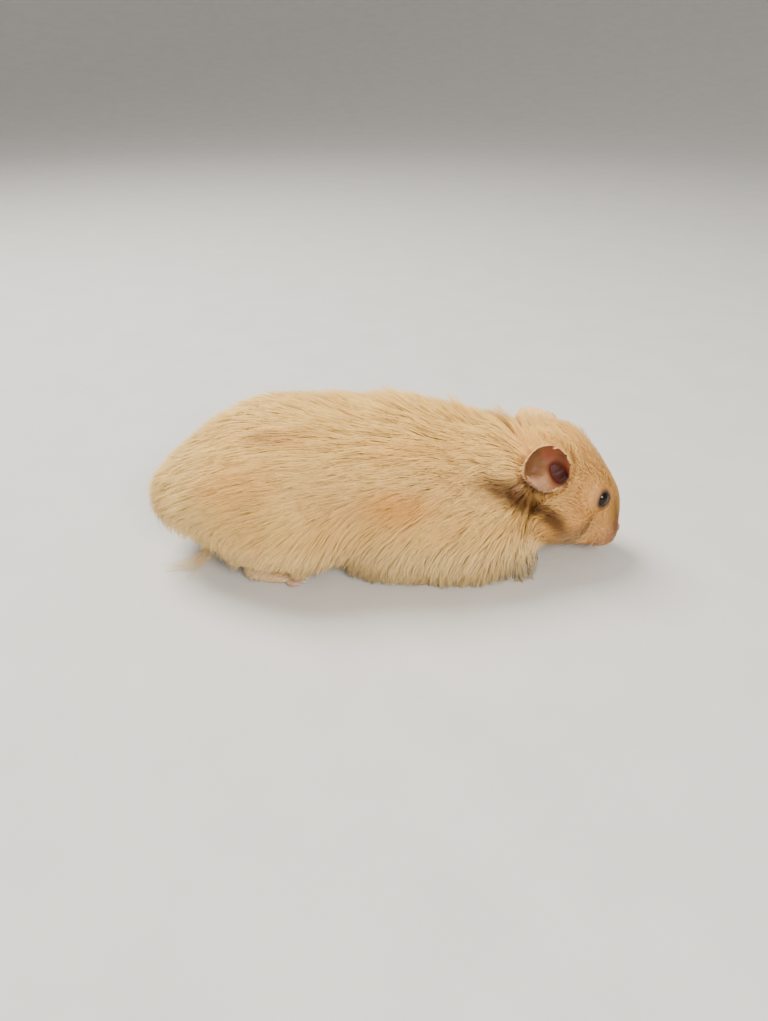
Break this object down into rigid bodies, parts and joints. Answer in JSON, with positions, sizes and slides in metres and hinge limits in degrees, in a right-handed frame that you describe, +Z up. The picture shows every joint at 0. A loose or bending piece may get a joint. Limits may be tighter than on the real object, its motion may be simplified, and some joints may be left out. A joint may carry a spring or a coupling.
{
  "type": "syrian hamster",
  "caption": "Still, life-size model of a long-haired Syrian hamster creeping with its nose near the floor.",
  "frame": {"origin": "on the floor, midway between the nose and the rump and between the two flanks", "axes": "+X towards the nose, +Y to the animal's left, +Z up"},
  "size_m": [0.1513, 0.0644, 0.0529],
  "materials": {
    "coat": "long, soft cream fur",
    "bare_skin": "thin pink skin, faintly moist",
    "claw": "pale translucent horn",
    "eye": "wet, near-black brown"
  },
  "bodies": {
    "root": {"head": "coat", "neck": "coat", "trunk": "coat", "tail": "coat", "fore_leg_left": "coat", "fore_leg_right": "coat", "hind_leg_left": "coat", "hind_leg_right": "coat", "fore_foot_left": "bare_skin", "fore_foot_right": "bare_skin", "hind_foot_left": "bare_skin", "hind_foot_right": "bare_skin", "ear_left": "bare_skin", "ear_right": "bare_skin", "nose": "bare_skin", "eye_left": "eye", "eye_right": "eye"}
  },
  "joints": []
}
